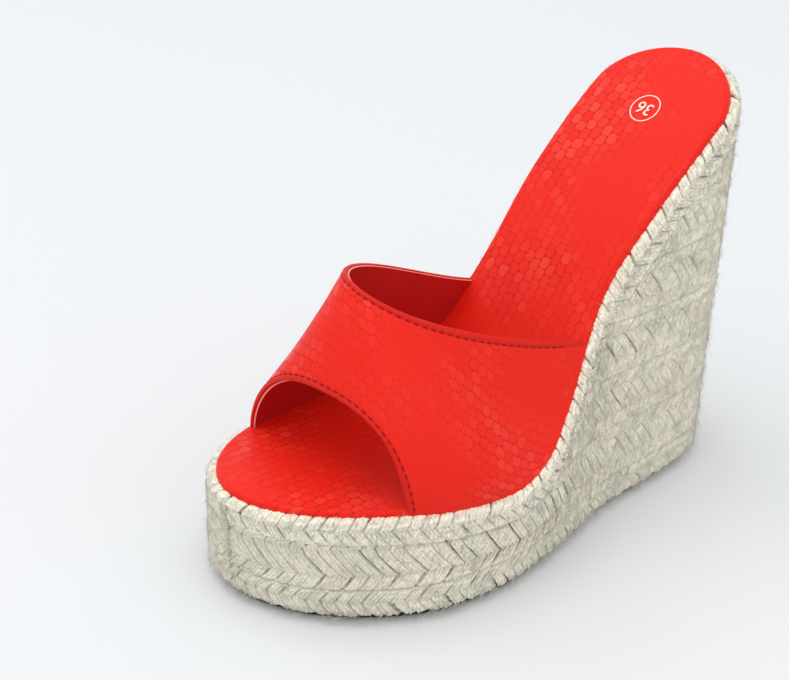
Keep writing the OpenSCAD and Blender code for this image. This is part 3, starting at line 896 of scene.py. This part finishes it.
def topline_point(x, v, h):
    """Point of the topline plait: x along it, v from its lower edge over the shoulder, h outwards."""
    f = np.interp(x, TOPLINE_LENGTHS, index)
    turn = np.clip((v - WALL_PART) / SHOULDER_TURN, 0, np.pi / 2)
    past = np.clip(v - WALL_PART - SHOULDER_TURN * np.pi / 2, 0, None)
    reach = SHOULDER_TURN + h
    up = np.minimum(v, WALL_PART) - TOPLINE_WIDTH + reach * np.sin(turn)
    depth = SHOULDER_MIDDLE + SHOULDER_TURN - reach * np.cos(turn) + past
    return at(SHOULDER_OUT, f) + up[:, None] * at(UPWARDS, f) + depth[:, None] * at(INWARDS, f)


def lay_topline():
    lines, tones = plait(TOPLINE_LENGTHS[-1], 1)
    runs, run_tones = kept_runs(lines, tones, lambda line: line[:, 1] < TOPLINE_CUT)
    piece = tubes("jute_topline", [run * MM for run in runs], YARN_RADIUS * MM, tones=run_tones)
    x, v, h = (points_of(piece) / MM).T
    place_points(piece, to_shoe(topline_point(x, v, h * SQUEEZE)))
    mark_depth(piece, h)
    return piece


topline = lay_topline()
edit_all(topline, face_outwards)
shade(topline, 80)
finish_piece(topline, jute, "jute_braid", "topline_braid")

# %% [markdown]
# Raw jute is hairy: loose fibres lie along the yarns and stick out of them. A hair system would not
# survive the export, so each fibre is a thin tapered tube with four points, bent over the wall.
# %% Loose fibres
FIBRES = 5500
FIBRE_RADIUS = 0.065
FIBRE_TAPER = [1, 1, 0.8, 0.35]
FIBRE_LENGTHS = (1.2, 4.5)
FIBRE_LEAN = (45, 18)
FIBRE_LIFT = 0.45
MOST_LIFT = 2.4
FIBRE_CURL = 1.5
HIGHEST_FIBRE = 135
SHARE_ON_TOPLINE = 0.05
BELOW_SHOULDER = 5


def lay_fibres(name):
    whole = loop_length(SHOULDER_OUT)
    paths, tones, radii = [], [], []
    steps = np.linspace(0, 1, 4)
    heights = SHOULDER_OUT[:, 2][:, None]
    while len(paths) < FIBRES:
        x = random.uniform(0, whole[-1])
        z = random.uniform(JUTE_BOTTOM + 0.5, HIGHEST_FIBRE)
        on_top = random.uniform() < SHARE_ON_TOPLINE
        reach = random.uniform(*FIBRE_LENGTHS)
        lean = random.choice([-1, 1]) * math.radians(random.normal(*FIBRE_LEAN))
        lift = min(0.1 + random.exponential(FIBRE_LIFT), MOST_LIFT)
        curl = random.normal(0, FIBRE_CURL)
        f = np.interp(x, whole, index)
        if not on_top and z > at(heights, np.array([f]))[0, 0] - BELOW_SHOULDER:
            continue
        dx = reach * math.cos(lean) * steps + curl * steps**2
        dv = reach * math.sin(lean) * steps - curl * steps**2
        out = 0.1 + lift * steps
        if on_top:
            v = np.clip(random.uniform(1, 7) + dv, 0.5, 9)
            path = topline_point((x + dx) % whole[-1], v, 1.0 + out)
        else:
            height = np.clip(z + dv, 0.6, None)
            path = wall(np.interp((x + dx) % whole[-1], whole, index), height, 0.15 - out)
        paths.append(to_shoe(path))
        tones.append(random.uniform(0, 1))
        radii.append(FIBRE_TAPER)
    return tubes(name, paths, FIBRE_RADIUS * MM, resolution=0, tones=tones, radii=radii)


for name in ("jute_fibres_1", "jute_fibres_2", "jute_fibres_3"):
    fibres = lay_fibres(name)
    shade(fibres, 80)
    finish_piece(fibres, jute_loose, "jute_braid")

# %% [markdown]
# ## Footbed
# The footbed is a thin red skin over foam and board, a little crowned, whose edge rolls down onto
# the jute. It could be a copy of the solid, but that has a hard edge. It is a grid laid over the
# outline instead: lines that follow the edge on each side, and even ones that fill the middle.
# %% The footbed skin
ROLL = 1.4
SKIN = 0.7
CROWN = 0.5
CROWN_RUN = 8
footbed_rings = np.concatenate([
    [[0.0, -4.0, -4.6], [0.0, -3.0, -3.6]],
    [[ROLL * (1 - math.sin(a)) * 0.75, -ROLL * (1 - math.cos(a)), -ROLL * a]
     for a in np.linspace(np.pi / 2, 0, 9)],
    [[inset, 0.0, inset] for inset in np.linspace(1.5, 9, 15)]])


def lay_footbed():
    columns = 300
    rings = len(footbed_rings)
    inner = 40
    rows = 2 * rings + inner
    piece, i, j = flat_grid("footbed_skin", columns, rows)
    t = i / (columns - 1)
    side = np.where(j < rows / 2, MEDIAL, LATERAL)
    ring = np.minimum(j, rows - 1 - j)
    held = np.minimum(ring, rings - 1)
    inset, n, flat = footbed_rings[held].T
    s = station(t, np.maximum(inset, 0))
    y = middle(s) + side * half_width(s, inset)
    flat_y = middle(s) + side * (half_width(s, inset) + inset - flat)
    share = np.clip((j - rings + 1) / (rows - 2 * rings + 1), 0, 1)
    width = half_width(s, footbed_rings[-1][0])
    inside = (j >= rings) & (j < rows - rings)
    y = np.where(inside, middle(s) + (2 * share - 1) * width, y)
    flat_y = np.where(inside, y, flat_y)
    lift = CROWN * ease((inset - 1) / CROWN_RUN)
    place_points(piece, to_shoe(on_footbed(s, y, n + lift)))
    set_attribute(piece, "plain", np.zeros(len(i)))
    set_uv(piece, np.column_stack([s, flat_y]) / 10)
    edit_all(piece, weld)
    apply_modifier(piece, "SOLIDIFY", thickness=SKIN * MM, offset=-1)
    edit_all(piece, face_outwards)
    return piece


footbed = lay_footbed()
shade(footbed, 60)
finish_piece(footbed, red_skin, "embossed_cover", "footbed_cover")

# %% [markdown]
# ## Band
# The outer skin is folded round both edges of the band, and the lining is sewn inside the folds.
# The fold is part of the sheet: its rows run on round a half circle and back along the inside.
# %% Rows of the band from the inner end of one fold to the other
FOLD_LOW = 0.85
OUTER_HIGH = BAND_THICKNESS
FOLD_MIDDLE = (FOLD_LOW + OUTER_HIGH) / 2
FOLD_RADIUS = (OUTER_HIGH - FOLD_LOW) / 2


def ruling_length(turn):
    return np.linalg.norm(arch_point(1.0, turn) - arch_point(0.0, turn), axis=-1)


def fold_rows():
    """(distance past the edge, height) of the folded skin, from its inner end to the outside."""
    rows = [(-5.0, FOLD_LOW), (-3.0, FOLD_LOW), (-1.5, FOLD_LOW)]
    for degrees in np.linspace(-90, 90, 9):
        a = math.radians(degrees)
        rows.append((FOLD_RADIUS * math.cos(a), FOLD_MIDDLE + FOLD_RADIUS * math.sin(a)))
    return np.array(rows)


def flip():
    bpy.ops.mesh.flip_normals()


def unrolled(points, i, j):
    """Distances along both directions of a grid, measured on its surface from its middle."""
    grid = np.empty((i.max() + 1, j.max() + 1), int)
    grid[i, j] = np.arange(len(i))
    laid = points[grid]
    result = []
    for axis in (0, 1):
        step = np.linalg.norm(np.diff(laid, axis=axis), axis=2)
        pad = [(1, 0), (0, 0)] if axis == 0 else [(0, 0), (1, 0)]
        run = np.cumsum(np.pad(step, pad), axis=axis)
        run -= np.take(run, [run.shape[axis] // 2], axis=axis)
        result.append(run[i, j])
    return result


SEAM_IN = 1.9
SEAM_WIDTH = 0.4
SEAM_DEPTH = 0.24
EDGE_BEAD = 0.12
ROW_CROWDING = 0.8
SKIN_STRETCH = 1.1
SKIN_SHEET = 0.45


def lay_band_skin():
    fold = fold_rows()
    columns = 260
    across_steps = 110
    rows = 2 * len(fold) + across_steps
    piece, i, j = flat_grid("band_skin", columns, rows)
    turn = np.pi * i / (columns - 1)
    length = ruling_length(turn)
    past, height = fold[np.minimum(np.minimum(j, rows - 1 - j), len(fold) - 1)].T
    start = (FOLD_RADIUS - past) / length
    first = FOLD_RADIUS / length
    share = np.clip((j - len(fold) + 1) / (across_steps + 1), 0, 1)
    share = share - ROW_CROWDING * np.sin(2 * np.pi * share) / (2 * np.pi)
    inside = (j >= len(fold)) & (j < rows - len(fold))
    across = np.where(inside, first + (1 - 2 * first) * share, np.where(j < rows / 2, start, 1 - start))
    height = np.where(inside, OUTER_HIGH, height)
    points = band_point(across, turn, height)
    along, over = unrolled(points, i, j)
    to_edge = np.minimum(across, 1 - across) * length
    seam = np.where(inside, np.exp(-((to_edge - SEAM_IN) / SEAM_WIDTH) ** 2), 0)
    normal = band_point(across, turn, 1.0) - band_point(across, turn, 0.0)
    bead = np.where(inside, EDGE_BEAD * ease((SEAM_IN - to_edge) / 1.0), 0.0)
    place_points(piece, to_shoe(points + normal * (bead - SEAM_DEPTH * seam)[:, None]))
    set_attribute(piece, "plain", np.where(inside, ease((SEAM_IN + 0.5 - to_edge) / 0.5), 1))
    set_uv(piece, np.column_stack([along * SKIN_STRETCH, over]) / 10)
    edit_all(piece, flip)
    apply_modifier(piece, "SOLIDIFY", thickness=SKIN_SHEET * MM, offset=-1)
    edit_all(piece, face_outwards)
    return piece


skin = lay_band_skin()
shade(skin, 60)
finish_piece(skin, red_skin, "embossed_cover", "band_outer")

# %% The lining and the interlining
LINING_INSET = 0.35
LINING_HEIGHT = 0.78
LINING_SHEET = 0.5
INTERLINING_INSET = 1.6
INTERLINING_HEIGHT = 1.62
INTERLINING_SHEET = 0.25


def lay_inner_sheet(name, inset, height, columns, rows):
    """A sheet inside the band, from inset past one edge to inset before the other."""
    piece, i, j = flat_grid(name, columns, rows)
    turn = np.pi * i / (columns - 1)
    length = ruling_length(turn)
    across = (inset + (length - 2 * inset) * j / (rows - 1)) / length
    points = band_point(across, turn, height)
    along, over = unrolled(points, i, j)
    place_points(piece, to_shoe(points))
    set_uv(piece, np.column_stack([along, over]) / 10)
    edit_all(piece, flip)
    return piece


lining = lay_inner_sheet("band_lining_sheet", LINING_INSET, LINING_HEIGHT, 260, 70)
lining.data.materials.append(lining_suede)
lining.data.materials.append(cut_edge)
apply_modifier(lining, "SOLIDIFY", thickness=LINING_SHEET * MM, offset=-1, material_offset_rim=1)
edit_all(lining, face_outwards)
shade(lining, 50)
finish_piece(lining, lining_suede, "lining_suede", "band_lining")

interlining = lay_inner_sheet(
    "interlining_sheet", INTERLINING_INSET, INTERLINING_HEIGHT, 160, 40)
apply_modifier(interlining, "SOLIDIFY", thickness=INTERLINING_SHEET * MM, offset=-1)
edit_all(interlining, face_outwards)
shade(interlining, 50)
finish_piece(interlining, cloth, "interlining_cloth", "band_interlining")


# %% Stitches along both edges
STITCH_PITCH = 3.0
STITCH_POINTS = 7
STITCH_SINK = 0.4
STITCH_RISE = 0.38
THREAD_RADIUS = 0.19


def lay_stitches(name, inset, node):
    """Short threads that rise out of the skin and dip back into it."""
    fine = np.radians(np.linspace(3, 177, 400))
    length = ruling_length(fine)
    across = inset / length if inset > 0 else 1 + inset / length
    line = band_point(across, fine, OUTER_HIGH)
    run = np.concatenate([[0], np.cumsum(np.linalg.norm(np.diff(line, axis=0), axis=1))])
    count = int(run[-1] / STITCH_PITCH)
    paths = []
    for k in range(count):
        places = (k + np.linspace(0.16, 0.84, STITCH_POINTS)) * run[-1] / count
        turn = np.interp(places, run, fine)
        rise = OUTER_HIGH - STITCH_SINK + STITCH_RISE * np.sin(np.linspace(0, np.pi, STITCH_POINTS))
        across_here = np.interp(turn, fine, across)
        paths.append(to_shoe(band_point(across_here, turn, rise)))
    piece = tubes(name, paths, THREAD_RADIUS * MM)
    edit_all(piece, face_outwards)
    shade(piece, 80)
    finish_piece(piece, thread_red, "stitching_thread", node)


lay_stitches("front_edge_thread", SEAM_IN, "front_edge_stitching")
lay_stitches("rear_edge_thread", -SEAM_IN, "rear_edge_stitching")

# %% [markdown]
# ## Outsole
# A thin black rubber sheet, cut a little inside the jute. It could be a copy of the solid. A circle
# is bent to the wedge's outline instead, at an even distance inside it, and extruded to the ground,
# because its clean edge takes a bevel.
# %% The outsole
def lay_outsole():
    deselect()
    bpy.ops.mesh.primitive_circle_add(vertices=LOOP, radius=1, fill_type="NGON")
    piece = bpy.context.object
    piece.name = "rubber_outsole"
    line = contour(base, OUTSOLE_INSET)
    line[:, 2] = SOLE_TOP - 0.1
    place_points(piece, to_shoe(line))
    edit_all(piece, face_outwards, lambda: bpy.ops.mesh.extrude_region_move(
        TRANSFORM_OT_translate={"value": (0, 0, -(SOLE_TOP - 0.1) * MM)}))
    edit_all(piece, face_outwards)
    apply_modifier(piece, "BEVEL", width=0.5 * MM, segments=3, limit_method="ANGLE",
                   angle_limit=math.radians(50))
    return piece


outsole = lay_outsole()


# %% [markdown]
# The tread is a sunken field with small six-sided lugs. One lug is modelled and repeated by two
# Array modifiers, every other row is moved by half a step, and the lugs past the border are deleted.
# %% Tread under the outsole
LUG = 3.2
LUG_PITCH = 5.2
TREAD_DEPTH = 0.9
TREAD_BORDER = 5


def inside_line(points, line):
    """True for each point that lies inside a closed flat line."""
    a, b = line[None, :, :2], np.roll(line, -1, 0)[None, :, :2]
    x, y = points[:, None, 0], points[:, None, 1]
    crosses = (a[..., 1] > y) != (b[..., 1] > y)
    at_x = a[..., 0] + (y - a[..., 1]) * (b[..., 0] - a[..., 0]) / np.where(crosses, b[..., 1] - a[..., 1], 1)
    return (crosses & (x < at_x)).sum(1) % 2 == 1


def sink_tread(piece):
    """Insets the flat underside and pushes the middle up."""
    activate(piece)
    bpy.ops.object.mode_set(mode="EDIT")
    bpy.ops.mesh.select_all(action="DESELECT")
    bpy.ops.object.mode_set(mode="OBJECT")
    for face in piece.data.polygons:
        face.select = face.normal.z < -0.9 and face.area > 0.001
    bpy.ops.object.mode_set(mode="EDIT")
    bpy.ops.mesh.inset(thickness=TREAD_BORDER * MM)
    bpy.ops.mesh.inset(thickness=0.5 * MM, depth=-TREAD_DEPTH * MM)
    bpy.ops.object.mode_set(mode="OBJECT")


def lay_lugs():
    """Small six-sided lugs in staggered rows, kept where they fit inside the border."""
    deselect()
    bpy.ops.mesh.primitive_cylinder_add(vertices=6, radius=LUG / 2 * MM, depth=TREAD_DEPTH * MM)
    lug = bpy.context.object
    lug.name = "lug"
    apply_modifier(lug, "BEVEL", width=0.2 * MM, segments=1)
    size = len(lug.data.vertices)
    pitch = LUG_PITCH * MM
    apply_modifier(lug, "ARRAY", count=40, use_relative_offset=False, use_constant_offset=True,
                   constant_offset_displace=(pitch, 0, 0))
    row_size = len(lug.data.vertices)
    apply_modifier(lug, "ARRAY", count=24, use_relative_offset=False, use_constant_offset=True,
                   constant_offset_displace=(0, pitch * math.sqrt(3) / 2, 0))
    co = points_of(lug)
    row = np.arange(len(co)) // row_size
    co[:, 0] += (row % 2) * pitch / 2 - 20 * pitch
    co[:, 1] -= 11.5 * pitch * math.sqrt(3) / 2
    co[:, 2] += TREAD_DEPTH / 2 * MM + 0.05 * MM
    place_points(lug, co)
    centres = co.reshape(-1, size, 3).mean(1)
    border = to_shoe(contour(base, OUTSOLE_INSET + TREAD_BORDER + LUG / 2 + 0.6))
    outside = np.repeat(~inside_line(centres, border), size)
    activate(lug)
    lug.data.vertices.foreach_set("select", outside)
    bpy.ops.object.mode_set(mode="EDIT")
    bpy.ops.mesh.delete(type="VERT")
    bpy.ops.object.mode_set(mode="OBJECT")
    print("lugs:", len(lug.data.vertices) // size)
    return lug


sink_tread(outsole)
lugs = lay_lugs()
activate(lugs)
outsole.select_set(True)
bpy.context.view_layer.objects.active = outsole
bpy.ops.object.join()
shade(outsole, 40)
finish_piece(outsole, black_rubber, "outsole_rubber", "outsole")

# %% [markdown]
# ## Size mark
# A ring of silver foil pressed into the heel of the footbed, with the size number inside.
# %% Foil ring and number
RING_RADIUS = 5.3
RING_LINE = 0.24
RING_FLATNESS = 0.35
NUMBER_SIZE = 6.6
RING_PLACE = 29.5
RING_MIDDLE = 0.8
FOIL_LIFT = 0.62


def on_heel(piece, lift):
    """Lays a flat drawing on the footbed. Its x runs to the wearer's right and its y to the toe."""
    co = points_of(piece) / MM
    place_points(piece, to_shoe(on_footbed(RING_PLACE + co[:, 1], RING_MIDDLE - co[:, 0], lift + co[:, 2])))


def lay_ring():
    deselect()
    bpy.ops.mesh.primitive_torus_add(
        major_radius=RING_RADIUS * MM, minor_radius=RING_LINE * MM, major_segments=96, minor_segments=10)
    ring = bpy.context.object
    ring.name = "foil_ring"
    co = points_of(ring)
    co[:, 2] *= RING_FLATNESS
    place_points(ring, co)
    on_heel(ring, FOIL_LIFT)
    return ring


ring = lay_ring()
for layer in list(ring.data.uv_layers):
    ring.data.uv_layers.remove(layer)
shade(ring, 60)
finish_piece(ring, foil, "foil_stamp", "size_stamp")


def lay_number():
    deselect()
    bpy.ops.object.text_add()
    text = bpy.context.object
    text.data.body = "36"
    text.data.size = NUMBER_SIZE * MM
    text.data.extrude = 0.1 * MM
    text.data.align_x = "CENTER"
    text.data.align_y = "CENTER"
    activate(text)
    bpy.ops.object.convert(target="MESH")
    number = bpy.context.object
    number.name = "foil_number"
    on_heel(number, FOIL_LIFT)
    edit_all(number, weld, face_outwards)
    return number


number = lay_number()
finish_piece(number, foil, "foil_stamp")

# %% [markdown]
# ## Studio
# A pale floor under a bright even sky, and three wide soft lights. The key stands high on the medial
# side, behind the shoe as the camera sees it. One fill stands high in front of the toe and one on the
# lateral side. The camera looks down on the toe from the lateral front, through a long lens.
# %% Floor and light
deselect()
bpy.ops.mesh.primitive_plane_add(size=8, location=(0, 0, 0))
floor = bpy.context.object
floor.name = "floor"
floor.data.materials.append(
    plain_finish("studio_floor", (0.74, 0.755, 0.765), 0.7, grain=50, relief=0.0, mottle=0.0))

CAMERA_AZIMUTH = math.radians(138.6)
CAMERA_ELEVATION = math.radians(27.4)
CAMERA_DISTANCE = 0.7992
CAMERA_ROLL = math.radians(0.3)
AIM = Vector((0.0267, -0.016, 0.0649))


def direction(azimuth, elevation):
    level = math.cos(elevation)
    return Vector((math.sin(azimuth) * level, -math.cos(azimuth) * level, math.sin(elevation)))


def soft_light(name, azimuth, elevation, distance, size, power):
    data = bpy.data.lights.new(name, "AREA")
    data.shape = "SQUARE"
    data.size = size
    data.energy = power
    lamp = bpy.data.objects.new(name, data)
    bpy.context.scene.collection.objects.link(lamp)
    away = direction(math.radians(azimuth), math.radians(elevation))
    lamp.location = AIM + away * distance
    lamp.rotation_euler = away.to_track_quat("Z", "Y").to_euler()


soft_light("key", 12, 58, 1.5, 1.2, 4.5)
soft_light("front_fill", 108, 62, 1.6, 1.5, 5)
soft_light("side_fill", 185, 50, 1.6, 1.8, 4.5)
world = bpy.data.worlds.new("studio")
bpy.context.scene.world = world
world.use_nodes = True
world.node_tree.nodes["Background"].inputs["Color"].default_value = (0.97, 0.98, 1.0, 1)
world.node_tree.nodes["Background"].inputs["Strength"].default_value = 0.9
bpy.context.scene.view_settings.view_transform = "Standard"

# %% Camera
camera_data = bpy.data.cameras.new("camera")
camera_data.sensor_width = 36
camera_data.lens = 113.0
camera = bpy.data.objects.new("camera", camera_data)
bpy.context.scene.collection.objects.link(camera)
back = direction(CAMERA_AZIMUTH, CAMERA_ELEVATION)
camera.location = AIM + back * CAMERA_DISTANCE
camera.rotation_euler = back.to_track_quat("Z", "Y").to_euler()
camera.rotation_euler.rotate_axis("Z", CAMERA_ROLL)
bpy.context.scene.camera = camera
